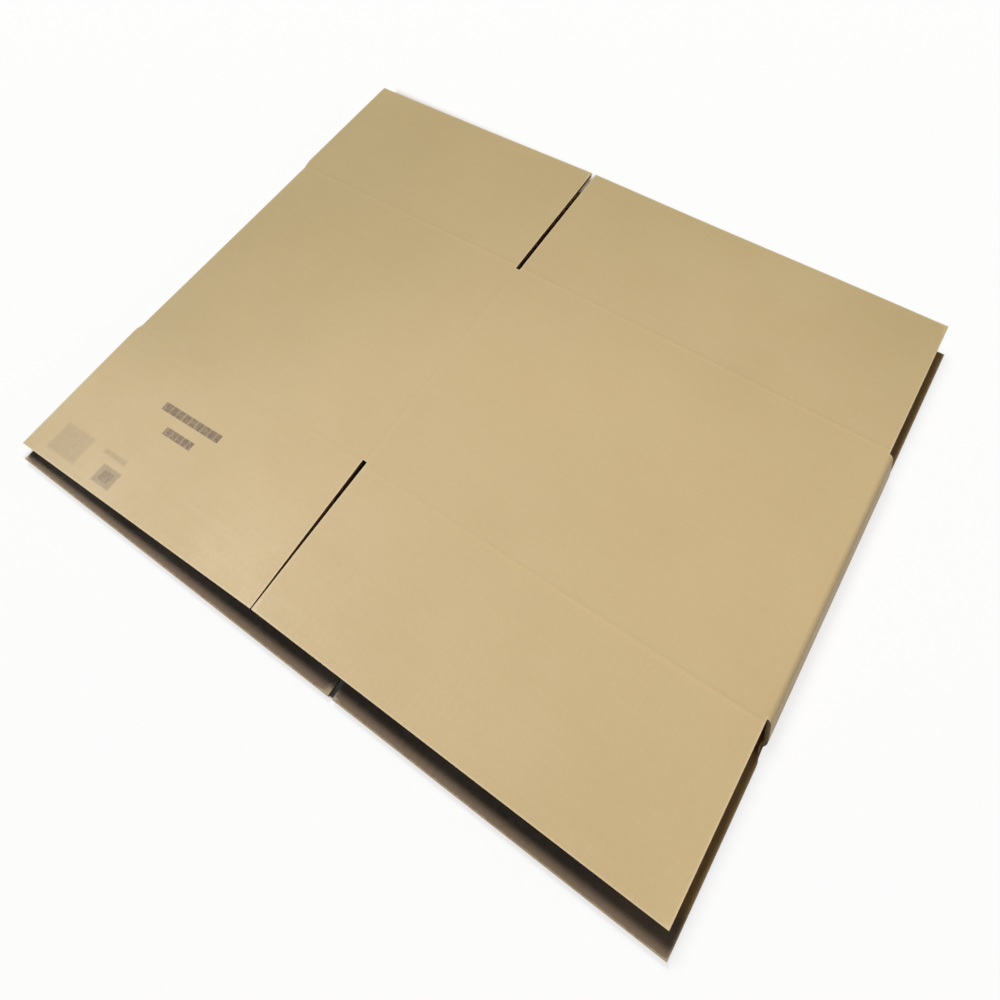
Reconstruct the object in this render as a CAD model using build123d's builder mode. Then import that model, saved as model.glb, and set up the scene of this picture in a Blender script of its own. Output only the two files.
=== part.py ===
from build123d import *
from math import atan2, cos, degrees, radians, sin, tan
import os

# A regular slotted carton of corrugated board, glued into a tube and knocked down flat.
# X runs across the panels, Y along the flutes and the folds, and Z up from what it lies on.
# Both layers are one sheet, so the whole carton is one solid.

# Carton sizes, in millimetres
box_length = 450.0  # the two long side panels
box_width = 350.0  # the two short side panels, which also set the depth of the flaps
box_height = 300.0  # from one row of flap scores to the other

# Corrugated board
board = 5.0
liner = 0.8
medium = 0.6  # fluted paper between the two liners
flute_pitch = 8.8
flute_angle = 50.0

# How the two layers lie on each other
gap_left = 6.0  # free height between the layers at the left fold
gap_right = 16.0  # the same from the upper crease to the right fold, where the board springs up
layer_offset = 20.0  # the lower layer lies this much nearer the front than the upper one
layer_lean = 12.0  # and this much further right, so that both folds lean
flap_runout = 8.0  # how far the outer corner of the upper left front flap has swung forward

# Folds, slots and scores
fold_share = 0.28  # outer radius of both bends of a fold, as a share of the height there
slot_width = 5.5
slot_overrun = 4.0  # a slot is cut this far past the score of its flaps
flap_setback = 4.0  # side edge of a flap, measured in from the end of its layer at the fold
score_width = 4.0
score_depth = 0.45
crush_margin = 6.0  # board pressed flat beside a fold, a crease or the joint, with no open flutes

# Glued joint in the lower layer
seam_gap = 2.5
tab_width = 38.0
tab_root = 6.0
tab_thickness = 3.4  # the tab is pressed thinner than the board
tab_inset = 5.0  # from the score of the flaps to the end of the tab
tab_taper = 14.0

# Places and sizes that follow from these
flap_depth = box_width / 2
flap_swing = flap_runout * flap_depth / box_width  # how far its edge has swung over its slot with that
half_span = (box_length + box_width) / 2
half_sheet = box_height / 2 + flap_depth
upper_left = -half_span - layer_lean / 2
upper_right = half_span - layer_lean / 2
lower_left = -half_span + layer_lean / 2
lower_right = half_span + layer_lean / 2
upper_y = layer_offset / 2
lower_y = -layer_offset / 2
crease_x = upper_left + box_width
seam_x = lower_left + box_length
height_left = 2 * board + gap_left
height_right = 2 * board + gap_right
radius_left = fold_share * height_left
radius_right = fold_share * height_right
core_left = lower_left + radius_left
core_right = upper_right - radius_right
between = board + gap_left / 2  # a height that lies between the two layers all the way
slope = degrees(atan2(height_right - height_left, box_width))
past = 10.0  # cutters run this far past the board

# Open flutes, as arches under and over the fluted paper
arch_height = board - 2 * liner - medium
arch_middle = flute_pitch / 2 - medium / sin(radians(flute_angle))
arch_base = arch_middle + arch_height / tan(radians(flute_angle))


def upper_line():
    """Outer face of the upper layer, from the left fold over the crease to the right fold."""
    return Polyline((upper_left, height_left), (crease_x, height_right), (upper_right, height_right))


def flutes(start, end, tilt=0.0):
    """Cuts the open flutes of one panel, between two points on the middle of its board."""
    run = (end[0] - start[0]) / cos(radians(tilt))
    count = int((run - arch_base) // flute_pitch) + 1
    middle = ((start[0] + end[0]) / 2, (start[1] + end[1]) / 2, 0)
    with Locations(Location(middle, (0, 0, tilt))):
        with Locations((0, -medium / 2)):
            with GridLocations(flute_pitch, 0, count, 1):
                Trapezoid(arch_base, arch_height, flute_angle, mode=Mode.SUBTRACT)
        with Locations((0, medium / 2)):
            with GridLocations(flute_pitch, 0, count - 1, 1):
                Trapezoid(arch_base, arch_height, flute_angle, rotation=180, mode=Mode.SUBTRACT)


def middle_of_upper(x):
    """Point on the middle of the upper board at x."""
    fall = max(crease_x - x, 0) * tan(radians(slope))
    return (x, height_right - fall - board / 2 / cos(radians(slope if fall else 0)))


def fold_side(height):
    """Side view of one fold, whose ends slant from the scores of one layer to those of the other."""
    low, high = lower_y - box_height / 2, upper_y - box_height / 2
    Polygon((low, -past), (low, board), (high, height - board), (high, height + past),
            (high + box_height, height + past), (high + box_height, height - board),
            (low + box_height, board), (low + box_height, -past), align=None)


def slot_pair():
    """A slot from each end of the sheet to just past the scores of the flaps."""
    Rectangle(slot_width, 2 * (half_sheet + past))
    Rectangle(slot_width, box_height - 2 * slot_overrun, mode=Mode.SUBTRACT)


# Room that the folds take up beside the flat board
with BuildPart() as fold_room:
    with BuildSketch(Plane.YZ.offset(core_right)):
        fold_side(height_right)
    extrude(amount=radius_right + layer_lean)
    with BuildSketch(Plane.YZ.offset(core_left)):
        fold_side(height_left)
    extrude(amount=-radius_left - layer_lean)

# Rounded folds that join the two layers between the rows of flaps
with BuildPart() as folds:
    add(fold_room.part)
    with BuildSketch(Plane.XZ.offset(-half_sheet)):
        with BuildLine():
            outer = upper_line()
            Polyline(outer @ 1, (lower_right, 0), (lower_left, 0), outer @ 0)
        make_face()
        fillet(vertices().sort_by(Axis.X)[:2], radius_left)
        fillet(vertices().sort_by(Axis.X)[-2:], radius_right)
        offset(amount=-board, mode=Mode.SUBTRACT)
    extrude(amount=2 * half_sheet, mode=Mode.INTERSECT)

with BuildPart() as folded_box:
    # Upper layer, over its crease
    with BuildSketch(Plane.XZ.offset(-half_sheet - upper_y)):
        with BuildLine():
            upper_line()
            offset(amount=board, side=Side.RIGHT)
        make_face()
        with Locations(((upper_left + upper_right) / 2, height_right)):
            Rectangle(2 * (half_span - flap_setback), 2 * height_right, mode=Mode.INTERSECT)
        flutes(middle_of_upper(upper_left + crush_margin), middle_of_upper(crease_x - crush_margin), slope)
        flutes(middle_of_upper(crease_x + crush_margin), middle_of_upper(upper_right - crush_margin))
    extrude(amount=2 * half_sheet + flap_runout)

    # Front edge of the upper layer, square from the crease on, and both outer edges of the flap that has swung
    with BuildSketch(Plane.XY.offset(between)):
        score_y = upper_y - box_height / 2
        edge_y = upper_y - half_sheet
        front_y = edge_y - flap_runout
        side_x = upper_left + flap_setback
        with BuildLine():
            Polyline((side_x, score_y), (side_x + flap_swing, front_y), (crease_x, edge_y), (half_span, edge_y),
                     (half_span, front_y - past), (upper_left, front_y - past), (upper_left, score_y), close=True)
        make_face()
    extrude(amount=height_right, mode=Mode.SUBTRACT)

    # Lower layer
    with BuildSketch(Plane.XZ.offset(-half_sheet - lower_y)):
        with Locations(((lower_left + lower_right) / 2, board / 2)):
            Rectangle(2 * (half_span - flap_setback), board)
        flutes((lower_left + crush_margin, board / 2), (seam_x - crush_margin, board / 2))
        flutes((seam_x + crush_margin, board / 2), (lower_right - crush_margin, board / 2))
    extrude(amount=2 * half_sheet)

    # Folds at both sides
    add(fold_room.part, mode=Mode.SUBTRACT)
    add(folds.part)

    # Slots of the upper crease, and slots and open seam of the joint below
    with BuildSketch(Plane.XY.offset(between)):
        with Locations((crease_x, upper_y)):
            slot_pair()
            Polygon((-slot_width / 2, slot_overrun - box_height / 2), (-slot_width / 2, -half_sheet - past),
                    (flap_swing - slot_width / 2, -half_sheet - past), align=None, mode=Mode.SUBTRACT)
    extrude(amount=height_right, mode=Mode.SUBTRACT)
    with BuildSketch():
        with Locations((seam_x, lower_y)):
            slot_pair()
            Rectangle(seam_gap, box_height)
    extrude(amount=board, mode=Mode.SUBTRACT)

    # Glued tab that bridges the seam inside
    with BuildSketch(Plane.XY.offset(board)):
        tab_end = box_height / 2 - tab_inset
        tip_x = seam_x + seam_gap / 2 + tab_width
        with BuildLine():
            Polyline((seam_x - tab_root, lower_y - tab_end), (seam_x, lower_y - tab_end),
                     (tip_x, lower_y - tab_end + tab_taper), (tip_x, lower_y + tab_end - tab_taper),
                     (seam_x, lower_y + tab_end), (seam_x - tab_root, lower_y + tab_end), close=True)
        make_face()
    extrude(amount=tab_thickness)

    # Scores of the flaps, and the crease between the slots
    with BuildSketch(*(Plane.XZ.offset(row * box_height / 2 - score_width / 2 - upper_y) for row in (-1, 1))):
        with BuildLine():
            upper_line()
            offset(amount=score_depth, side=Side.RIGHT)
        make_face()
    extrude(amount=score_width, mode=Mode.SUBTRACT)
    with BuildSketch():
        with Locations(((lower_left + lower_right) / 2, lower_y)):
            with GridLocations(0, box_height, 1, 2):
                Rectangle(2 * half_span, score_width)
    extrude(amount=score_depth, mode=Mode.SUBTRACT)
    with BuildSketch(Plane.XY.offset(height_right)):
        with Locations((crease_x, upper_y)):
            Rectangle(score_width, box_height - 2 * slot_overrun)
    extrude(amount=-score_depth, mode=Mode.SUBTRACT)

folded_box.part.label = "folded_box"
os.makedirs("parts", exist_ok=True)
export_step(folded_box.part, "parts/folded_box.step")
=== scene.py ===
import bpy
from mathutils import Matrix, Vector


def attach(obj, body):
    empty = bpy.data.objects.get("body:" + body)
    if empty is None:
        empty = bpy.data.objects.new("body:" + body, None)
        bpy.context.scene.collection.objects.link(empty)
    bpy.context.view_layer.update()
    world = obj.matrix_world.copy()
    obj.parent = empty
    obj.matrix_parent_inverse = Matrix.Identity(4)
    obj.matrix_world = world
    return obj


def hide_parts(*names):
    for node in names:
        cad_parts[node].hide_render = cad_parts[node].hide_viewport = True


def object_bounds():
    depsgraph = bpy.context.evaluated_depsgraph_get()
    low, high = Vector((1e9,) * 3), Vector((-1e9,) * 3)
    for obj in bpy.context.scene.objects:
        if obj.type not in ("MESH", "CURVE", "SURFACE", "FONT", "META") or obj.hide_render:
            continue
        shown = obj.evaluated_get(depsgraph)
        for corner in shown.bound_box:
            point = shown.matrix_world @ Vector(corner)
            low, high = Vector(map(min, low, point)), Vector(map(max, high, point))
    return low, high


bl_info = {
    "name": "Flat Corrugated Carton",
    "version": (1, 0, 0),
    "blender": (4, 5, 0),
    "location": "View3D > Sidebar > Carton",
    "description": "A slotted carton of corrugated board, knocked down flat, with its finishes and stage",
    "category": "Add Mesh",
}

from math import cos, pi, radians, sin

import bpy
import numpy as np
from mathutils import Quaternion, Vector

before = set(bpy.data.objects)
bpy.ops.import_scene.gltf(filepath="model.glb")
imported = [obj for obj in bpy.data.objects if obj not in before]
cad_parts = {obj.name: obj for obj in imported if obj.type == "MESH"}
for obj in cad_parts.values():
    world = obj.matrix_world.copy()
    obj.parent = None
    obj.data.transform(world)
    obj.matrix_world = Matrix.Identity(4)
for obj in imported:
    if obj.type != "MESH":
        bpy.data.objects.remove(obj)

# The solid that the fine board stands for, and the box that it keeps to
BOARD_NODE = "folded_box"
CAD_LOW, CAD_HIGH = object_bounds()

# Material slots of the board
OUTSIDE, INSIDE, FLUTING = 0, 1, 2

# Glued tab, in metres: its root before the joint, how far it ends from the scores, and its taper
TAB_ROOT, TAB_INSET, TAB_TAPER = 0.006, 0.005, 0.014

# How far the print comes forward for each metre to the left, as it has swung with its flap
PRINT_TURN = 0.03

# Fields of print on the upper left front flap: middle, half sizes, strength and length of a beat, in metres
PRINT_FIELDS = (
    (-0.2505, -0.2025, 0.0425, 0.0050, 1.00, 0.0095),
    (-0.2490, -0.2250, 0.0205, 0.0048, 1.00, 0.0080),
    (-0.3500, -0.2900, 0.0215, 0.0170, 0.26, 0.0),
    (-0.2846, -0.2984, 0.0135, 0.0105, 0.55, 0.0),
    (-0.2846, -0.2984, 0.0078, 0.0062, 0.85, 0.0),
    (-0.2930, -0.2765, 0.0165, 0.0026, 0.34, 0.0060),
)


# Sizes and colours that a user would change


class CartonSizes(bpy.types.PropertyGroup):
    """Sizes of the carton, of its board and of how its two layers lie on each other."""

    def length(name, description, default):
        """A length in metres."""
        return bpy.props.FloatProperty(
            name=name, description=description, default=default, min=0.0, precision=4, subtype="DISTANCE",
            unit="LENGTH",
        )

    box_length: length("Box length", "Width of the two long side panels", 0.450)
    box_width: length("Box width", "Width of the two short side panels", 0.350)
    box_height: length("Box height", "From one row of flap scores to the other", 0.300)
    board: length("Board", "Thickness of the board", 0.005)
    liner: length("Liner", "Thickness of each flat paper", 0.0007)
    medium: length("Medium", "Thickness of the fluted paper", 0.0005)
    flute_pitch: length("Flute pitch", "From one flute to the next", 0.0088)
    gap_left: length("Left gap", "Free height between the layers at the left fold", 0.006)
    gap_right: length("Right gap", "Free height between the layers from the crease on", 0.016)
    layer_offset: length("Layer offset", "How much nearer the front the lower layer lies", 0.020)
    layer_lean: length("Layer lean", "How much further right the lower layer lies", 0.012)
    flap_runout: length("Flap runout", "How far the upper left front flap has swung at its corner", 0.008)
    slot_width: length("Slot width", "Width of the slots between the flaps", 0.0055)
    slot_overrun: length("Slot overrun", "How far a slot runs past the score of its flaps", 0.004)
    flap_setback: length("Flap setback", "Side edge of a flap, in from the end of its layer", 0.004)
    seam_gap: length("Seam gap", "Gap between the two panels at the glued joint", 0.0025)
    tab_width: length("Tab width", "How far the glued tab runs past the joint", 0.038)
    tab_thickness: length("Tab thickness", "Thickness of the pressed tab", 0.0034)
    score_width: length("Score width", "Width of a pressed score", 0.007)
    score_depth: length("Score depth", "Depth of a pressed score", 0.00018)


class CartonColours(bpy.types.PropertyGroup):
    """Colours of the papers and of the print."""

    def colour(name, description, default):
        """A linear colour with no alpha."""
        return bpy.props.FloatVectorProperty(
            name=name, description=description, default=default, min=0.0, max=1.0, size=3, subtype="COLOR"
        )

    kraft: colour("Kraft", "Outer face of the board", (0.570, 0.432, 0.230))
    kraft_dark: colour("Kraft shade", "Darker clouds and fibres of the outer face", (0.430, 0.300, 0.135))
    kraft_light: colour("Kraft light", "Paler fibres and rubbed edges", (0.710, 0.580, 0.370))
    inside: colour("Inside", "Inner face of the board", (0.480, 0.305, 0.125))
    # Painted shade on the inner face's strip in front, under and just past the upper layer's edge
    front_shade: colour("Front shade", "Inner face where it lies open to the air at the front", (0.155, 0.120, 0.102))
    fluting: colour("Fluting", "Fluted paper and cut edges", (0.400, 0.275, 0.150))
    # Painted shade: multiplies the outer face's colours, darker the farther from the front right
    painted_shade: colour("Painted shade", "What painted shade leaves of the outer face's colours", (0.750, 0.760, 0.710))
    ink: colour("Ink", "Plain print on one flap", (0.150, 0.100, 0.055))


class StageSettings(bpy.types.PropertyGroup):
    """Floor, lamps and camera."""

    floor: bpy.props.FloatVectorProperty(
        name="Floor", description="Colour of the floor", default=(0.90, 0.90, 0.90), min=0.0, max=1.0,
        size=3, subtype="COLOR",
    )
    # Painted shade: colour of the floor under the carton
    shade: bpy.props.FloatVectorProperty(
        name="Shade", description="Colour of the floor under the carton", default=(0.22, 0.18, 0.14),
        min=0.0, max=1.0, size=3, subtype="COLOR",
    )
    key_power: bpy.props.FloatProperty(
        name="Key power", description="Power of the far soft lamp behind on the left", default=12200.0,
        min=0.0, unit="POWER",
    )
    rim_power: bpy.props.FloatProperty(
        name="Rim power", description="Power of the low lamp on the right", default=140.0, min=0.0,
        unit="POWER",
    )
    sheen_power: bpy.props.FloatProperty(
        name="Sheen power", description="Power of the lamp on the left that shows only as a sheen",
        default=265.0, min=0.0, unit="POWER",
    )
    sky: bpy.props.FloatProperty(
        name="Sky", description="Strength of the even light from all round", default=0.02, min=0.0
    )
    azimuth: bpy.props.FloatProperty(
        name="Azimuth", description="Where the camera stands, from the front towards the right",
        default=radians(39.92), subtype="ANGLE",
    )
    elevation: bpy.props.FloatProperty(
        name="Elevation", description="How high the camera looks down from", default=radians(62.21),
        subtype="ANGLE",
    )
    roll: bpy.props.FloatProperty(
        name="Roll", description="Tilt of the camera about its line of sight", default=radians(-6.95),
        subtype="ANGLE",
    )
    distance: bpy.props.FloatProperty(
        name="Distance", description="From the camera to what it aims at", default=0.7697, min=0.1,
        unit="LENGTH",
    )
    aim: bpy.props.FloatVectorProperty(
        name="Aim", description="Point that the camera looks at", default=(0.0240, -0.0015, 0.0260), size=3,
        subtype="TRANSLATION",
    )
    lens: bpy.props.FloatProperty(
        name="Lens", description="Focal length on a sensor 36 mm wide", default=25.71, min=1.0,
        unit="CAMERA",
    )
    rise: bpy.props.FloatProperty(
        name="Rise", description="Upward shift of the lens, as a share of the picture", default=-0.10
    )


# Shape of the sheet


def smooth(low, high, value):
    """Goes from 0 at low to 1 at high, as three squares less two cubes of the share between them."""
    share = np.clip((value - low) / (high - low), 0.0, 1.0)
    return share * share * (3.0 - 2.0 * share)


def groove(distance, width):
    """1 on the line and 0 at half the width from it, as half of one more than a cosine."""
    share = np.clip(2.0 * np.abs(distance) / width, 0.0, 1.0)
    return 0.5 + 0.5 * np.cos(np.pi * share)


class Sheet:
    """The one sheet of board of the carton, laid flat.

    s runs round the tube on its outer face, from the right side of the glued joint over the right fold, the
    crease and the left fold back to the joint. t runs along the flutes, and depth goes from the outer face
    inwards.
    """

    line_step = 0.0001  # between the points of the walk round the tube
    crease_radius = 0.25
    fold_share = 0.28  # radius of both bends of a fold, as a share of the height there
    ease = 0.014  # from the end of a slot to where its flaps lie straight
    crush = 0.004  # board beside a bend that is crushed with it
    crushed_share = 0.15  # of its thickness that crushed board loses
    inner_press = 0.6  # how deep the inner face is pressed, as a share of the outer one
    cut_press = 0.35  # how deep a face is pressed at a cut, as a share of a score
    cut_reach = 0.003  # how far from a cut that reaches
    crease_ease = 0.002  # past the end of a slot until the crease is gone
    swing_ease = 0.06  # past its score until a swung flap has its whole angle
    sway_ease = 0.03  # beside a fold until the board sways freely

    def __init__(self, sizes):
        """Works out the walk round the tube and the side edges of the flaps."""
        self.z = z = sizes
        self.half_sheet = (z.box_height + z.box_width) / 2
        self.slot_end = z.box_height / 2 - z.slot_overrun
        half_span = (z.box_length + z.box_width) / 2
        height_left = 2 * z.board + z.gap_left
        height_right = 2 * z.board + z.gap_right
        upper_left = -half_span - z.layer_lean / 2
        upper_right = half_span - z.layer_lean / 2
        lower_left = -half_span + z.layer_lean / 2
        lower_right = half_span + z.layer_lean / 2
        self.crease_x = upper_left + z.box_width
        self.seam_x = lower_left + z.box_length
        start_x = self.seam_x + z.seam_gap / 2
        end_x = self.seam_x - z.seam_gap / 2
        radius_left = self.fold_share * height_left
        radius_right = self.fold_share * height_right
        corners = [(lower_right, 0.0, radius_right), (upper_right, height_right, radius_right),
                   (self.crease_x, height_right, self.crease_radius),
                   (upper_left, height_left, radius_left), (lower_left, 0.0, radius_left)]
        self.walk((start_x, 0.0), corners, (end_x, 0.0))
        # Side edges of the flaps, as places along the sheet
        self.slots = [
            (-z.board, (z.slot_width - z.seam_gap) / 2),
            (lower_right - z.flap_setback - start_x,
             self.bends[1][1] - upper_right + z.flap_setback + self.edge_x(1)),
            (self.crease_s - z.slot_width / 2, self.crease_s + z.slot_width / 2),
            (self.bends[3][0] + self.edge_x(3) - upper_left - z.flap_setback,
             self.length - (end_x - lower_left - z.flap_setback)),
            (self.length - (z.slot_width - z.seam_gap) / 2, self.length + z.board),
        ]
        # Middles of both folds, where the flaps of one layer end and those of the other begin
        self.middles = [(self.slots[fold][0] + self.slots[fold][1]) / 2 for fold in (1, 3)]

    def walk(self, start, corners, end):
        """Straight runs joined by tangent arcs.

        The heading is a sum of ramps, one for each arc, and the place is the running sum of the cosine and
        the sine of the heading. An arc takes off its tangent, radius times the tangent of half the turn,
        from both its runs.
        """
        points = np.array([start, *[c[:2] for c in corners], end])
        radii = np.array([c[2] for c in corners])
        runs = np.diff(points, axis=0)
        lengths = np.hypot(*runs.T)
        headings = np.unwrap(np.arctan2(runs[:, 1], runs[:, 0]))
        turns = np.diff(headings)
        tangents = radii * np.tan(turns / 2)
        arcs = radii * turns
        saved = np.concatenate([[0.0], np.cumsum(arcs - 2 * tangents)[:-1]])
        starts = np.cumsum(lengths[:-1]) - tangents + saved
        self.length = lengths.sum() + (arcs - 2 * tangents).sum()
        self.bends = list(zip(starts, starts + arcs))
        self.crease_s = starts[2] + arcs[2] / 2
        self.line_s = np.linspace(0.0, self.length, int(self.length / self.line_step) + 1)
        middle_s = (self.line_s[:-1] + self.line_s[1:]) / 2
        self.headings, self.turns, self.starts, self.arcs = headings, turns, starts, arcs
        pace = np.diff(self.line_s)
        heading = self.heading(middle_s)
        self.line_x = start[0] + np.concatenate([[0.0], np.cumsum(pace * np.cos(heading))])
        self.line_z = start[1] + np.concatenate([[0.0], np.cumsum(pace * np.sin(heading))])

    def heading(self, s):
        """Direction of the outer face at s: the first heading and the turns as far as s has passed them."""
        share = np.clip((s[..., None] - self.starts) / self.arcs, 0.0, 1.0)
        return self.headings[0] + share @ self.turns

    def edge_x(self, bend):
        """How far across the tube the flat board beside a bend lies."""
        s = self.bends[bend][1] if bend == 1 else self.bends[bend][0]
        return np.interp(s, self.line_s, self.line_x)

    def flat_of(self, s):
        """The nearest place on the flat board of the same panel, past which a flap runs straight on."""
        right, left = self.bends[0][0], self.bends[1][1]
        first, last = self.bends[3][0], self.bends[4][1]
        past_right = np.where(s < self.middles[1], np.clip(s, left, first), np.maximum(s, last))
        return np.where(s < self.middles[0], np.minimum(s, right), past_right)

    def bent(self, s):
        """1 in the bends of both folds, where the board is crushed, and 0 past them."""
        total = 0.0
        for start, end in ((self.bends[0][0], self.bends[1][1]), (self.bends[3][0], self.bends[4][1])):
            total = total + smooth(start - self.crush, start, s) * smooth(end + self.crush, end, s)
        return total

    def offset_of(self, s):
        """How far back the board lies at s: a smooth step from layer to layer over each fold."""
        rise = smooth(self.bends[0][0], self.bends[1][1], s) - smooth(self.bends[3][0], self.bends[4][1], s)
        return self.z.layer_offset * (rise - 0.5)

    def pressed(self, s, t):
        """Depth pressed into each face at a score, at the crease between its slots and beside a cut."""
        z = self.z
        scores = groove(np.abs(t) - z.box_height / 2, z.score_width)
        between_slots = 1.0 - smooth(self.slot_end, self.slot_end + self.crease_ease, np.abs(t))
        crease = groove(s - self.crease_s, z.score_width) * between_slots
        cuts = self.cut_press * smooth(self.cut_reach, 0.0, self.rim(s, t))
        return z.score_depth * np.maximum(np.maximum(scores, crease), cuts)

    def rim(self, s, t):
        """Distance to the nearest cut edge: the ends of the flaps, the slots and the joint."""
        rim = np.minimum(self.half_sheet - np.abs(t), np.minimum(s, self.length - s))
        for low, high in self.slots:
            beside = np.maximum(low - s, s - high)
            beyond = self.slot_end - np.abs(t)
            rim = np.minimum(rim, np.hypot(np.maximum(beside, 0.0), np.maximum(beyond, 0.0)))
        return np.maximum(rim, 0.0)

    def sway(self, x, y, upper):
        """Small rise of the board off its true plane: long waves all over, and corners of flaps that curl.

        The waves are products of sines, and a curl is the square of how far a point lies past the score.
        """
        long_wave, short_wave, sunk = 0.0005, 0.0003, 0.0004
        front_curl, back_curl = -0.0016, -0.0010
        waves = long_wave * np.sin(7.1 * x + 1.3) * np.sin(9.7 * y + 0.4)
        waves = waves + short_wave * np.sin(19.0 * x - 11.0 * y)
        score = self.z.box_height / 2
        past = np.clip((np.abs(y) - score) / (self.half_sheet - score), 0.0, 1.0)
        curl = np.where(y < 0, front_curl, back_curl) * past ** 2 * (0.6 + 0.4 * np.cos(6.0 * x + 0.5))
        return np.where(upper, waves + curl - sunk, 0.0)

    def place(self, s, t, depth):
        """Where a point of the board lies.

        On the panels it follows the tube, and on the flaps the straight board of its panel, with an even
        change from one to the other past the end of the slots. One flap has swung about its score by a small
        angle. The point then moves inwards by its depth, less what is pressed or crushed away.
        """
        z = self.z
        s, t, depth = np.broadcast_arrays(s, t, depth)
        free = smooth(self.slot_end, self.slot_end + self.ease, np.abs(t))
        flat = self.flat_of(s)
        beyond = s - flat
        turn, flat_turn = self.heading(s), self.heading(flat)
        x = np.interp(s, self.line_s, self.line_x)
        rise = np.interp(s, self.line_s, self.line_z)
        flat_x = np.interp(flat, self.line_s, self.line_x) + beyond * np.cos(flat_turn)
        flat_rise = np.interp(flat, self.line_s, self.line_z) + beyond * np.sin(flat_turn)
        x = x + free * (flat_x - x)
        rise = rise + free * (flat_rise - rise)
        turn = turn + free * (flat_turn - turn)
        y = t + self.offset_of(s) + free * (self.offset_of(flat) - self.offset_of(s))
        upper = (s > self.middles[0]) & (s < self.middles[1])
        swung = np.where(upper & (s > self.crease_s), z.flap_runout / z.box_width, 0.0)
        out = np.maximum(-t - z.box_height / 2, 0.0)
        y = y - swung * (self.crease_x - x) * smooth(0.0, self.swing_ease, out)
        x = x + swung * out
        pressed = self.pressed(s, t)
        uncrushed = 1.0 - self.crushed_share * self.bent(s) * (1.0 - free)
        inward = pressed + depth * (1.0 - (1.0 + self.inner_press) * pressed / z.board) * uncrushed
        x = x - inward * np.sin(turn)
        rise = rise + inward * np.cos(turn)
        from_fold = np.minimum(np.abs(s - self.middles[0]), np.abs(s - self.middles[1]))
        lift = self.sway(x, y, upper) * smooth(0.0, self.sway_ease, from_fold)
        return np.stack([x, y, rise + lift], axis=-1)

    def columns(self, pitch, fine):
        """Places along the sheet: cuts, crease and bends, with even steps between them, fine round a fold."""
        marks = {0.0, self.length, self.crease_s}
        for low, high in self.slots:
            marks.update((low, high))
        for low, high in self.bends[:2] + self.bends[3:]:
            marks.update((low, high))
        half = self.z.score_width / 2
        marks.update(self.crease_s + half * np.array((-1.0, -0.75, -0.25, 0.25, 0.75, 1.0)))
        marks = np.array(sorted(m for m in marks if 0.0 <= m <= self.length))
        parts = []
        for low, high in zip(marks[:-1], marks[1:]):
            middle = (low + high) / 2
            in_right_fold = self.bends[0][0] <= middle <= self.bends[1][1]
            in_left_fold = self.bends[3][0] <= middle <= self.bends[4][1]
            run = fine if in_right_fold or in_left_fold else pitch
            # The hundredth keeps rounding from adding a step
            count = max(1, int(np.ceil((high - low) / run - 0.01)))
            parts.append(np.linspace(low, high, count, endpoint=False))
        return np.append(np.concatenate(parts), marks[-1])

    def rows(self, pitch):
        """Places along the flutes: every pitch, and closer steps across the scores and beside the ends."""
        half = self.z.score_width / 2
        score = self.z.box_height / 2
        marks = np.concatenate([
            [0.0, self.slot_end - 0.004, self.slot_end],
            score + half * np.array((-0.75, -0.4, 0.0, 0.4, 0.75, 1.0)),
            [score + 0.008, score + 0.012, self.half_sheet - 0.003, self.half_sheet],
        ])
        marks = np.unique(np.round(np.concatenate([-marks, marks]), 6))
        parts = [np.linspace(low, high, max(1, int(round((high - low) / pitch))), endpoint=False)
                 for low, high in zip(marks[:-1], marks[1:])]
        return np.append(np.concatenate(parts), marks[-1])

    def kept(self, columns, rows):
        """Which cells between the columns and the rows are board, and not in a slot."""
        s = ((columns[:-1] + columns[1:]) / 2)[:, None]
        t = ((rows[:-1] + rows[1:]) / 2)[None, :]
        keep = np.ones((len(columns) - 1, len(rows) - 1), bool)
        for low, high in self.slots:
            keep &= ~((s > low) & (s < high) & (np.abs(t) > self.slot_end))
        return keep


# Meshes


def shell(outer, inner, keep):
    """A thin closed sheet between two grids of points, with walls round every cell that is left out.

    Returns all points, the corners of each face as numbers among the used ones, for each face 0 on the
    outer side, 1 on the inner side and 2 on a wall, and the numbers of the used points.
    """
    count_s, count_t = outer.shape[:2]
    number = np.arange(count_s * count_t).reshape(count_s, count_t)
    under = number + number.size
    i, j = np.nonzero(keep)
    ahead = np.stack([number[i, j], number[i, j + 1], number[i + 1, j + 1], number[i + 1, j]], axis=1)
    behind = np.stack([under[i, j], under[i + 1, j], under[i + 1, j + 1], under[i, j + 1]], axis=1)
    room = np.pad(keep, 1)
    # A wall stands where one neighbour along s, or along t, is board and the other isn't
    walls = []
    for before, after, near, far in (
        (room[:-1, 1:-1], room[1:, 1:-1], number[:, :-1], number[:, 1:]),
        (room[1:-1, 1:], room[1:-1, :-1], number[:-1, :], number[1:, :]),
    ):
        for mask, a, b in ((after & ~before, far, near), (before & ~after, near, far)):
            a, b = a[mask], b[mask]
            walls.append(np.stack([a, b, b + number.size, a + number.size], axis=1))
    faces = np.concatenate([ahead, behind, *walls])
    kind = np.concatenate([np.zeros(len(ahead), int), np.ones(len(behind), int),
                           np.full(len(faces) - len(ahead) - len(behind), 2)])
    points = np.concatenate([outer.reshape(-1, 3), inner.reshape(-1, 3)])
    used, faces = np.unique(faces, return_inverse=True)
    return points, faces.reshape(-1, 4), kind, used


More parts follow.
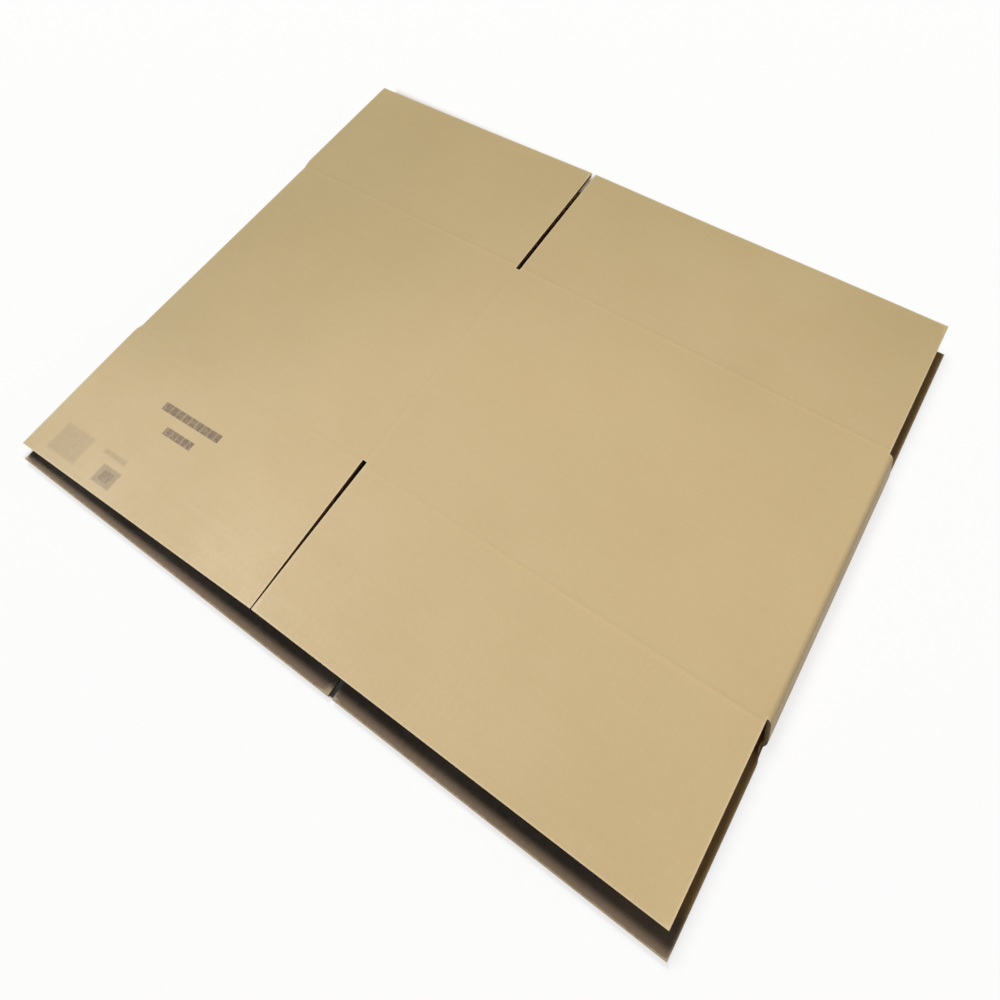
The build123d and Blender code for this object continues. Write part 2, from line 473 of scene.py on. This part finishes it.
def paper(sheet, columns, rows, high, low, keep=None):
    """One paper of the board, from the depth high to the depth low, which may change along the sheet."""
    s, t = np.meshgrid(columns, rows, indexing="ij")
    keep = sheet.kept(columns, rows) if keep is None else keep
    high, low = np.broadcast_to(high, s.shape), np.broadcast_to(low, s.shape)
    points, faces, kind, used = shell(sheet.place(s, t, high), sheet.place(s, t, low), keep)
    flat = np.concatenate([np.stack([s, t, depth], axis=-1).reshape(-1, 3) for depth in (high, low)])
    rim = np.tile(sheet.rim(s, t).ravel(), 2)
    return {"points": points[used], "faces": faces, "kind": kind, "flat": flat[used], "rim": rim[used]}


def glued_tab(sheet):
    """The tab of the joint, inside on the lower layer, on a flat grid that narrows evenly to its tip.

    Its top goes down by smooth steps near its tip and its ends, where it is pressed thinner.
    """
    z = sheet.z
    thin = 0.55  # share of its thickness that is left at its very edge
    u = np.linspace(0.0, 1.0, 15)[:, None]
    v = np.linspace(-1.0, 1.0, 41)[None, :]
    root, tip = sheet.seam_x - TAB_ROOT, sheet.seam_x + z.seam_gap / 2 + z.tab_width
    x = root + u * (tip - root) + 0.0 * v
    along = np.clip((x - sheet.seam_x) / (tip - sheet.seam_x), 0.0, 1.0)
    half = z.box_height / 2 - TAB_INSET - TAB_TAPER * along
    y = v * half - z.layer_offset / 2
    edge = smooth(0.0, 0.25, 1.0 - u) * smooth(0.0, 0.04, 1.0 - np.abs(v))
    top = np.stack([x, y, z.board + z.tab_thickness * (thin + (1.0 - thin) * edge)], axis=-1)
    bottom = np.stack([x, y, np.full_like(x, z.board)], axis=-1)
    keep = np.ones((u.shape[0] - 1, v.shape[1] - 1), bool)
    points, faces, kind, used = shell(bottom, top, keep)
    flat = np.stack([x - sheet.seam_x, v * half, np.full_like(x, z.board)], axis=-1)
    flat = np.tile(flat.reshape(-1, 3), (2, 1))
    rim = np.tile(np.minimum((1.0 - np.abs(v)) * half, tip - x).ravel(), 2)
    return {"points": points[used], "faces": faces, "kind": kind, "flat": flat[used], "rim": rim[used]}


def carton_papers(sheet):
    """Both liners, the fluted paper at the ends, and the pressed board in the folds and at the joint.

    Each comes with the finishes of its outer side, its inner side and its cut walls. The fluted paper lies
    half the board deep, give or take a cosine of the place along the sheet.
    """
    z = sheet.z
    rows = sheet.rows(pitch=0.0125)
    outer_columns = sheet.columns(pitch=z.flute_pitch, fine=0.0022)
    inner_columns = sheet.columns(pitch=1.5 * z.flute_pitch, fine=0.003)
    outer_liner = paper(sheet, outer_columns, rows, 0.0, z.liner)
    inner_liner = paper(sheet, inner_columns, rows, z.board - z.liner, z.board)
    papers = [(outer_liner, (OUTSIDE, FLUTING, FLUTING)), (inner_liner, (FLUTING, INSIDE, FLUTING))]
    wave = (z.board - 2 * z.liner - z.medium) / 2
    fine = sheet.columns(pitch=z.flute_pitch / 8, fine=z.flute_pitch / 8)
    middle = z.board / 2 + wave * np.cos(2 * np.pi * fine / z.flute_pitch)[:, None]
    # The fluted paper runs from just past the end of the slots to just inside the end of the flaps
    reach = np.array([sheet.slot_end + 0.001, sheet.slot_end + 0.03,
                      sheet.half_sheet - 0.08, sheet.half_sheet - 0.0004])
    for side in (-1, 1):
        fluted = paper(sheet, fine, np.sort(side * reach), middle - z.medium / 2, middle + z.medium / 2)
        papers.append((fluted, (FLUTING, FLUTING, FLUTING)))
    core_rows = np.linspace(-sheet.slot_end, sheet.slot_end, 25)
    beside_fold, beside_joint = 0.008, 0.012
    for low, high in ((sheet.bends[0][0] - beside_fold, sheet.bends[1][1] + beside_fold),
                      (sheet.bends[3][0] - beside_fold, sheet.bends[4][1] + beside_fold),
                      (0.0, beside_joint), (sheet.length - beside_joint, sheet.length)):
        core = np.linspace(low, high, 17)
        keep = np.ones((len(core) - 1, len(core_rows) - 1), bool)
        pressed = paper(sheet, core, core_rows, z.liner, z.board - z.liner, keep)
        papers.append((pressed, (FLUTING, FLUTING, FLUTING)))
    papers.append((glued_tab(sheet), (INSIDE, INSIDE, FLUTING)))
    return papers


def write_mesh(name, papers):
    """One mesh of all the papers, with each point's place on the sheet and its distance to a cut edge."""
    starts = np.cumsum([0] + [len(p["points"]) for p, _ in papers])
    points = np.concatenate([p["points"] for p, _ in papers])
    faces = np.concatenate([p["faces"] + start for (p, _), start in zip(papers, starts)])
    finish = np.concatenate([np.array(kinds)[p["kind"]] for p, kinds in papers])
    mesh = bpy.data.meshes.new(name)
    mesh.vertices.add(len(points))
    mesh.vertices.foreach_set("co", points.astype(np.float32).ravel())
    mesh.loops.add(faces.size)
    mesh.loops.foreach_set("vertex_index", faces.astype(np.int32).ravel())
    mesh.polygons.add(len(faces))
    mesh.polygons.foreach_set("loop_start", np.arange(0, faces.size, 4, dtype=np.int32))
    mesh.polygons.foreach_set("material_index", finish.astype(np.int32))
    mesh.polygons.foreach_set("use_smooth", np.ones(len(faces), bool))
    mesh.attributes.new("sheet", "FLOAT_VECTOR", "POINT").data.foreach_set(
        "vector", np.concatenate([p["flat"] for p, _ in papers]).astype(np.float32).ravel())
    mesh.attributes.new("rim", "FLOAT", "POINT").data.foreach_set(
        "value", np.concatenate([p["rim"] for p, _ in papers]).astype(np.float32))
    mesh.update(calc_edges=True)
    mesh.validate()
    mesh.set_sharp_from_angle(angle=radians(40))
    return mesh


# Shader node helpers


def socket_group(name, inputs, outputs):
    """A shader node group with its named sockets, and its input and output nodes."""
    group = bpy.data.node_groups.new(name, "ShaderNodeTree")
    for label, kind, default in inputs:
        socket = group.interface.new_socket(name=label, in_out="INPUT", socket_type=kind)
        if default is not None:
            socket.default_value = default
    for label, kind in outputs:
        group.interface.new_socket(name=label, in_out="OUTPUT", socket_type=kind)
    return group, group.nodes.new("NodeGroupInput"), group.nodes.new("NodeGroupOutput")


def put(tree, kind, settings=None, **inputs):
    """Adds a node, sets its options, and sets or links its sockets, given by name or by number, as in i0."""
    node = tree.nodes.new(kind)
    for option, value in (settings or {}).items():
        setattr(node, option, value)
    for key, value in inputs.items():
        socket = node.inputs[int(key[1:]) if key[1:].isdigit() else key.replace("_", " ")]
        if isinstance(value, bpy.types.NodeSocket):
            tree.links.new(value, socket)
        else:
            socket.default_value = value
    return node


def math(tree, operation, first, second=0.0, third=0.0, clamp=False):
    """One sum on values or sockets."""
    options = {"operation": operation, "use_clamp": clamp}
    return put(tree, "ShaderNodeMath", options, i0=first, i1=second, i2=third).outputs[0]


def step(tree, value, low, high, out_low=0.0, out_high=1.0):
    """A soft step of a value from low to high."""
    node = put(tree, "ShaderNodeMapRange", {"interpolation_type": "SMOOTHSTEP"},
               i0=value, i1=low, i2=high, i3=out_low, i4=out_high)
    return node.outputs[0]


def blend(tree, factor, first, second, mode="MIX"):
    """Mixes two colours."""
    options = {"data_type": "RGBA", "blend_type": mode}
    return put(tree, "ShaderNodeMix", options, i0=factor, i6=first, i7=second).outputs[2]


def noise(tree, place, scale, detail=2.0, roughness=0.5, stretch=(1.0, 1.0, 1.0), turn=0.0):
    """Noise in metres on the sheet, stretched and turned in its plane."""
    mapped = put(tree, "ShaderNodeMapping", i0=place, Rotation=(0.0, 0.0, turn), Scale=stretch)
    node = put(tree, "ShaderNodeTexNoise", Vector=mapped.outputs[0], Scale=scale, Detail=detail,
               Roughness=roughness)
    return node.outputs["Fac"]


# Effects of the finishes, as node groups


def paper_fibres():
    """Kraft pulp: clouds, crossing fibres, flecks and the long streaks that the paper machine leaves."""
    group, given, made = socket_group(
        "paper fibres",
        [("Place", "NodeSocketVector", None), ("Clouds", "NodeSocketFloat", 1.0),
         ("Fibres", "NodeSocketFloat", 1.0)],
        [("Tone", "NodeSocketFloat"), ("Flecks", "NodeSocketFloat"), ("Height", "NodeSocketFloat")])
    place = given.outputs["Place"]
    clouds = noise(group, place, scale=9.0, detail=4.0, roughness=0.55)
    streaks = noise(group, place, scale=160.0, detail=3.0, roughness=0.6, stretch=(0.05, 1.0, 1.0))
    across = noise(group, place, scale=620.0, roughness=0.6, stretch=(0.22, 1.0, 1.0), turn=0.5)
    along = noise(group, place, scale=700.0, roughness=0.6, stretch=(1.0, 0.25, 1.0), turn=0.35)
    fibres = math(group, "ADD", math(group, "ABSOLUTE", math(group, "SUBTRACT", across, 0.5)),
                  math(group, "ABSOLUTE", math(group, "SUBTRACT", along, 0.5)))
    cloud_tone = math(group, "MULTIPLY", math(group, "SUBTRACT", clouds, 0.5), given.outputs["Clouds"])
    streak_tone = math(group, "MULTIPLY", math(group, "SUBTRACT", streaks, 0.5), 0.25)
    mean_fibre = 0.16
    fibres_off = math(group, "SUBTRACT", fibres, mean_fibre)
    fibre_tone = math(group, "MULTIPLY", fibres_off, given.outputs["Fibres"])
    tone = math(group, "ADD", math(group, "ADD", cloud_tone, streak_tone), fibre_tone)
    group.links.new(math(group, "ADD", tone, 0.5, clamp=True), made.inputs["Tone"])
    flecks = put(group, "ShaderNodeTexVoronoi", Vector=place, Scale=240.0, Randomness=1.0)
    group.links.new(step(group, flecks.outputs["Distance"], 0.16, 0.05), made.inputs["Flecks"])
    group.links.new(fibres, made.inputs["Height"])
    return group


def washboard():
    """The flutes that show faintly through a liner, as a cosine of the place across them."""
    group, given, made = socket_group(
        "washboard",
        [("Place", "NodeSocketVector", None), ("Pitch", "NodeSocketFloat", 0.0088)],
        [("Height", "NodeSocketFloat")])
    across = put(group, "ShaderNodeSeparateXYZ", i0=given.outputs["Place"]).outputs[0]
    turns = math(group, "MULTIPLY", math(group, "DIVIDE", across, given.outputs["Pitch"]), 2 * pi)
    wave = math(group, "MULTIPLY", math(group, "COSINE", turns), 0.5)
    patchy = noise(group, given.outputs["Place"], scale=14.0, stretch=(1.0, 0.3, 1.0))
    shown = step(group, patchy, 0.30, 0.70, 0.35, 1.0)
    group.links.new(math(group, "MULTIPLY", wave, shown), made.inputs["Height"])
    return group


def rubbed_edges():
    """Where a cut edge is rubbed pale: within about 2 mm of it, broken up by noise."""
    group, given, made = socket_group(
        "rubbed edges",
        [("Place", "NodeSocketVector", None), ("Rim", "NodeSocketFloat", 1.0),
         ("Reach", "NodeSocketFloat", 0.002)],
        [("Mask", "NodeSocketFloat")])
    ragged = noise(group, given.outputs["Place"], scale=300.0, detail=3.0, roughness=0.65)
    reach = math(group, "MULTIPLY", given.outputs["Reach"], math(group, "MULTIPLY", ragged, 2.0))
    share = math(group, "DIVIDE", given.outputs["Rim"], math(group, "MAXIMUM", reach, 0.0002))
    group.links.new(step(group, share, 1.0, 0.2), made.inputs["Mask"])
    return group


def printed_fields():
    """Plain generic print on one flap: rows and blocks of ink, each a box with a middle and half sizes.

    A point is in a box where the larger of its two distances past the half sizes is below zero. The fainter
    a box is, the softer are its edges. A row with a beat has paler gaps, as a sine of the place along it.
    """
    group, given, made = socket_group(
        "printed fields",
        [("Place", "NodeSocketVector", None)],
        [("Mask", "NodeSocketFloat")])
    axes = put(group, "ShaderNodeSeparateXYZ", i0=given.outputs["Place"])
    x = axes.outputs[0]
    forward = math(group, "MULTIPLY", math(group, "ADD", x, 0.25), PRINT_TURN)
    y = math(group, "SUBTRACT", axes.outputs[1], forward)
    patchy = noise(group, given.outputs["Place"], scale=260.0, detail=3.0, roughness=0.7)
    wear = step(group, patchy, 0.30, 0.62, 0.72, 1.0)
    total = None
    for middle_x, middle_y, half_x, half_y, strength, bar in PRINT_FIELDS:
        across, down = math(group, "SUBTRACT", x, middle_x), math(group, "SUBTRACT", y, middle_y)
        side = math(group, "SUBTRACT", math(group, "ABSOLUTE", across), half_x)
        end = math(group, "SUBTRACT", math(group, "ABSOLUTE", down), half_y)
        soft = 0.0006 + 0.004 * (1.0 - strength) ** 2
        field = step(group, math(group, "MAXIMUM", side, end), soft, -soft, 0.0, strength)
        if bar:
            beat = math(group, "SINE", math(group, "MULTIPLY", across, 2 * pi / bar))
            field = math(group, "MULTIPLY", field, step(group, beat, -1.0, -0.40, 0.70, 1.0))
        total = field if total is None else math(group, "MAXIMUM", total, field)
    group.links.new(math(group, "MULTIPLY", total, wear), made.inputs["Mask"])
    return group


def finish(name):
    """A new material with its tree, its Principled BSDF and the place and rim of the sheet."""
    material = bpy.data.materials.new(name)
    material.use_nodes = True
    tree = material.node_tree
    surface = tree.nodes["Principled BSDF"]
    place = put(tree, "ShaderNodeAttribute", {"attribute_name": "sheet"}).outputs["Vector"]
    rim = put(tree, "ShaderNodeAttribute", {"attribute_name": "rim"}).outputs["Fac"]
    return material, tree, surface, place, rim


def grouped(tree, group, **inputs):
    """Places a node group in a material."""
    return put(tree, "ShaderNodeGroup", {"node_tree": group}, **inputs).outputs


def tint(tree, mask, share, colour, paint):
    """Paints a share of a colour over another where the mask is."""
    return blend(tree, math(tree, "MULTIPLY", mask, share), colour, (*paint, 1.0))


def relief(tree, surface, *layers):
    """Bumps on top of each other, each with its strength, its depth in metres and its height."""
    inputs = {}
    for strength, depth, height in layers:
        bump = put(tree, "ShaderNodeBump", Strength=strength, Distance=depth, Height=height, **inputs)
        inputs = {"Normal": bump.outputs[0]}
    tree.links.new(bump.outputs[0], surface.inputs["Normal"])


def kraft_outside(colours, sizes, groups):
    """Outer liner: tan kraft with clouds and fibres, faint flutes, pale rubbed edges and a little print.

    Painted shade darkens it a little, the more the farther from the front right, and less on the front
    flaps.
    """
    material, tree, surface, place, rim = finish("kraft outside")
    fibres = grouped(tree, groups["fibres"], Place=place, Clouds=0.55, Fibres=0.9)
    flutes = grouped(tree, groups["washboard"], Place=place, Pitch=sizes.flute_pitch)
    rubbed = grouped(tree, groups["rubbed"], Place=place, Rim=rim, Reach=0.0022)
    spot = put(tree, "ShaderNodeTexCoord").outputs["Object"]
    printed = grouped(tree, groups["print"], Place=spot)
    colour = blend(tree, fibres["Tone"], (*colours.kraft_dark, 1.0), (*colours.kraft_light, 1.0))
    colour = blend(tree, 0.72, colour, (*colours.kraft, 1.0))
    colour = tint(tree, fibres["Flecks"], 0.30, colour, colours.kraft_dark)
    colour = tint(tree, rubbed["Mask"], 0.55, colour, colours.kraft_light)
    axes = put(tree, "ShaderNodeSeparateXYZ", i0=spot).outputs
    above = step(tree, axes[2], 0.010, 0.012)
    # Painted shade on the upper layer only, the less the nearer this point and the front
    unshaded_point = (0.20, -0.20, 0.02)
    away = put(tree, "ShaderNodeVectorMath", {"operation": "DISTANCE"}, i0=spot, i1=unshaded_point).outputs["Value"]
    uneven = noise(tree, spot, scale=5.0, detail=3.0)
    ragged = math(tree, "MULTIPLY", math(tree, "SUBTRACT", uneven, 0.5), 0.2)
    painted_shade = math(tree, "MULTIPLY", step(tree, math(tree, "ADD", away, ragged), 0.20, 0.70), above)
    painted_shade = math(tree, "MULTIPLY", painted_shade, step(tree, axes[1], -0.24, -0.12, 0.5, 1.0))
    colour = blend(tree, painted_shade, colour, (*colours.painted_shade, 1.0), "MULTIPLY")
    colour = tint(tree, printed["Mask"], above, colour, colours.ink)
    tree.links.new(colour, surface.inputs["Base Color"])
    tree.links.new(step(tree, fibres["Tone"], 0.3, 0.7, 0.56, 0.46), surface.inputs["Roughness"])
    relief(tree, surface, (1.0, 0.00004, flutes["Height"]), (0.5, 0.00008, fibres["Height"]))
    surface.inputs["Specular IOR Level"].default_value = 0.5
    return material


def kraft_inside(colours, sizes, groups):
    """Inner liner: a browner, rougher kraft with the flutes showing more, with painted shade on the strip in
    front.
    """
    material, tree, surface, place, rim = finish("kraft inside")
    fibres = grouped(tree, groups["fibres"], Place=place, Clouds=0.8, Fibres=1.2)
    flutes = grouped(tree, groups["washboard"], Place=place, Pitch=sizes.flute_pitch)
    rubbed = grouped(tree, groups["rubbed"], Place=place, Rim=rim, Reach=0.0020)
    colour = blend(tree, fibres["Tone"], (*colours.kraft_dark, 1.0), (*colours.kraft, 1.0))
    spot = put(tree, "ShaderNodeTexCoord").outputs["Object"]
    front_shade_mask = step(tree, put(tree, "ShaderNodeSeparateXYZ", i0=spot).outputs[1], -0.290, -0.310)
    colour = blend(tree, 0.60, colour, (*colours.inside, 1.0))
    # Painted shade where the inner face lies under the upper layer's front edge and just past it
    colour = tint(tree, front_shade_mask, 0.8, colour, colours.front_shade)
    colour = tint(tree, rubbed["Mask"], 0.45, colour, colours.kraft_light)
    tree.links.new(colour, surface.inputs["Base Color"])
    tree.links.new(step(tree, fibres["Tone"], 0.3, 0.7, 0.9, 0.75), surface.inputs["Roughness"])
    relief(tree, surface, (1.0, 0.00012, flutes["Height"]), (0.6, 0.0001, fibres["Height"]))
    surface.inputs["Specular IOR Level"].default_value = 0.3
    return material


def fluting_paper(colours, _sizes, groups):
    """Fluted paper and cut edges: dull brown, with paler torn fibres right at the cut."""
    material, tree, surface, place, rim = finish("fluting")
    fibres = grouped(tree, groups["fibres"], Place=place, Clouds=1.0, Fibres=1.6)
    rubbed = grouped(tree, groups["rubbed"], Place=place, Rim=rim, Reach=0.0012)
    colour = blend(tree, fibres["Tone"], (*colours.kraft_dark, 1.0), (*colours.kraft, 1.0))
    colour = blend(tree, 0.65, colour, (*colours.fluting, 1.0))
    colour = tint(tree, rubbed["Mask"], 0.40, colour, colours.kraft_light)
    tree.links.new(colour, surface.inputs["Base Color"])
    relief(tree, surface, (0.7, 0.00012, fibres["Height"]))
    surface.inputs["Roughness"].default_value = 0.9
    surface.inputs["Specular IOR Level"].default_value = 0.2
    return material


# Stage


def looked_at(tree):
    """1 for what the camera sees, also in gloss and through glass, and 0 for light on its way elsewhere."""
    path = put(tree, "ShaderNodeLightPath").outputs
    mirrored = math(tree, "MAXIMUM", path["Is Glossy Ray"], path["Is Transmission Ray"])
    return math(tree, "MAXIMUM", path["Is Camera Ray"], mirrored)


def stage_floor(settings):
    """A pale plain floor that keeps the shadow and is nearly white to the camera and in gloss.

    Under the carton a painted shade darkens it, which ends sharply where the lower layer does, and softly on
    the left and behind, where the upper layer stands out over it. Far away it is plain white.
    """
    mesh = bpy.data.meshes.new("floor")
    half, drop = 30.0, -0.0005
    corners = [(-half, -half, drop), (half, -half, drop), (half, half, drop), (-half, half, drop)]
    mesh.from_pydata(corners, [], [(0, 1, 2, 3)])
    material = bpy.data.materials.new("floor")
    material.use_nodes = True
    tree = material.node_tree
    surface = tree.nodes["Principled BSDF"]
    spot = put(tree, "ShaderNodeTexCoord").outputs["Object"]
    axes = put(tree, "ShaderNodeSeparateXYZ", i0=spot)
    left, front, right, back = CAD_LOW[0], CAD_LOW[1], CAD_HIGH[0], CAD_HIGH[1]
    fade = step(tree, axes.outputs[1], back - 0.030, back, right - 0.003, right - 0.060)
    clear = None
    # Each edge of the shade, with the place where it starts to clear and the one where it is gone
    for axis, low, high in ((0, left + 0.016, left - 0.002), (0, fade, right),
                            (1, front + 0.002, front - 0.001), (1, back + 0.006, back + 0.028)):
        past = step(tree, axes.outputs[axis], low, high)
        clear = past if clear is None else math(tree, "MAXIMUM", clear, past)
    # Painted shade under the carton, clear past its edges
    colour = blend(tree, clear, (*settings.shade, 1.0), (*settings.floor, 1.0))
    tree.links.new(colour, surface.inputs["Base Color"])
    surface.inputs["Roughness"].default_value = 0.8
    surface.inputs["Specular IOR Level"].default_value = 0.0
    away = put(tree, "ShaderNodeVectorMath", {"operation": "LENGTH"}, i0=spot).outputs["Value"]
    near, far, white_in_shade, white_nearby = 1.5, 6.0, 0.035, 0.80
    white = math(tree, "MAXIMUM", clear, white_in_shade)
    white = math(tree, "MULTIPLY", white, step(tree, away, near, far, white_nearby, 1.0))
    white = math(tree, "MULTIPLY", white, looked_at(tree))
    glow = put(tree, "ShaderNodeEmission", Color=(1.0, 1.0, 1.0, 1.0), Strength=1.0)
    mixed = put(tree, "ShaderNodeMixShader", i0=white, i1=surface.outputs[0], i2=glow.outputs[0])
    tree.links.new(mixed.outputs[0], tree.nodes["Material Output"].inputs["Surface"])
    mesh.materials.append(material)
    floor = bpy.data.objects.new("floor", mesh)
    bpy.context.scene.collection.objects.link(floor)


def stage_sky(settings):
    """Even light from all round, which is plain white to the camera."""
    world = bpy.data.worlds.new("studio")
    bpy.context.scene.world = world
    world.use_nodes = True
    tree = world.node_tree
    tree.nodes.clear()
    shown = math(tree, "MULTIPLY", looked_at(tree), 1.0 - settings.sky)
    strength = math(tree, "ADD", settings.sky, shown)
    light = put(tree, "ShaderNodeBackground", Color=(1.0, 1.0, 1.0, 1.0), Strength=strength)
    out = put(tree, "ShaderNodeOutputWorld")
    tree.links.new(light.outputs[0], out.inputs["Surface"])


def stage_lamp(name, place, size, power, colour, diffuse=True, gloss=True):
    """A square soft lamp turned to the carton, which lights it, shows as a sheen on it, or does both."""
    lamp = bpy.data.lights.new(name, "AREA")
    lamp.shape = "SQUARE"
    lamp.size = size
    lamp.energy = power
    lamp.color = colour
    holder = bpy.data.objects.new(name, lamp)
    holder.location = place
    holder.rotation_mode = "QUATERNION"
    holder.rotation_quaternion = (-Vector(place)).to_track_quat("-Z", "Y")
    holder.visible_diffuse = diffuse
    holder.visible_glossy = gloss
    bpy.context.scene.collection.objects.link(holder)


def stage_camera(settings):
    """A camera on a sphere round its aim, looking at it and then rolled about its line of sight."""
    camera = bpy.data.cameras.new("camera")
    camera.sensor_width = 36.0
    camera.lens = settings.lens
    camera.shift_y = settings.rise
    camera.clip_start = 0.01
    camera.clip_end = 200.0
    a, e = settings.azimuth, settings.elevation
    back = Vector((sin(a) * cos(e), -cos(a) * cos(e), sin(e)))
    holder = bpy.data.objects.new("camera", camera)
    holder.location = Vector(settings.aim) + back * settings.distance
    holder.rotation_mode = "QUATERNION"
    roll = Quaternion((0.0, 0.0, 1.0), settings.roll)
    holder.rotation_quaternion = (-back).to_track_quat("-Z", "Y") @ roll
    bpy.context.scene.collection.objects.link(holder)
    bpy.context.scene.camera = holder


# Operators, panel and running


class CARTON_OT_board(bpy.types.Operator):
    """Build the carton's sheet of corrugated board with its papers and finishes"""

    bl_idname = "carton.board"
    bl_label = "Corrugated Board"

    def execute(self, context):
        sizes, colours = context.scene.carton_sizes, context.scene.carton_colours
        sheet = Sheet(sizes)
        mesh = write_mesh("carton_board", carton_papers(sheet))
        groups = {"fibres": paper_fibres(), "washboard": washboard(), "rubbed": rubbed_edges(),
                  "print": printed_fields()}
        for make in (kraft_outside, kraft_inside, fluting_paper):
            mesh.materials.append(make(colours, sizes, groups))
        board = bpy.data.objects.new("carton_board", mesh)
        context.scene.collection.objects.link(board)
        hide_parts(BOARD_NODE)
        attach(board, "root")
        return {"FINISHED"}


class CARTON_OT_stage(bpy.types.Operator):
    """Build the pale floor, the soft lamps and the camera"""

    bl_idname = "carton.stage"
    bl_label = "Stage"

    def execute(self, context):
        settings = context.scene.carton_stage
        stage_floor(settings)
        stage_sky(settings)
        stage_lamp("key", place=(-14.5, 15.2, 21.7), size=10.0, power=settings.key_power,
                   colour=(1.0, 0.985, 0.96), gloss=False)
        stage_lamp("rim", place=(7.5, 3.5, 2.2), size=2.0, power=settings.rim_power,
                   colour=(1.0, 0.94, 0.85), gloss=False)
        stage_lamp("sheen", place=(-3.4, -1.55, 4.95), size=2.4, power=settings.sheen_power,
                   colour=(1.0, 1.0, 1.0), diffuse=False)
        stage_camera(settings)
        context.scene.view_settings.view_transform = "Standard"
        return {"FINISHED"}


class CARTON_PT_panel(bpy.types.Panel):
    """Lists the carton's pieces and its stage"""

    bl_idname = "CARTON_PT_panel"
    bl_label = "Flat Carton"
    bl_space_type = "VIEW_3D"
    bl_region_type = "UI"
    bl_category = "Carton"

    def draw(self, context):
        for operator in (CARTON_OT_board, CARTON_OT_stage):
            self.layout.operator(operator.bl_idname)
        for group in (context.scene.carton_sizes, context.scene.carton_colours, context.scene.carton_stage):
            box = self.layout.box()
            for name in group.__annotations__:
                box.prop(group, name)


CLASSES = (CartonSizes, CartonColours, StageSettings, CARTON_OT_board, CARTON_OT_stage, CARTON_PT_panel)


def register():
    for cls in CLASSES:
        bpy.utils.register_class(cls)
    bpy.types.Scene.carton_sizes = bpy.props.PointerProperty(type=CartonSizes)
    bpy.types.Scene.carton_colours = bpy.props.PointerProperty(type=CartonColours)
    bpy.types.Scene.carton_stage = bpy.props.PointerProperty(type=StageSettings)


def unregister():
    del bpy.types.Scene.carton_stage
    del bpy.types.Scene.carton_colours
    del bpy.types.Scene.carton_sizes
    for cls in reversed(CLASSES):
        bpy.utils.unregister_class(cls)


def main():
    register()
    bpy.ops.carton.board()
    bpy.ops.carton.stage()


if __name__ == "__main__":
    main()
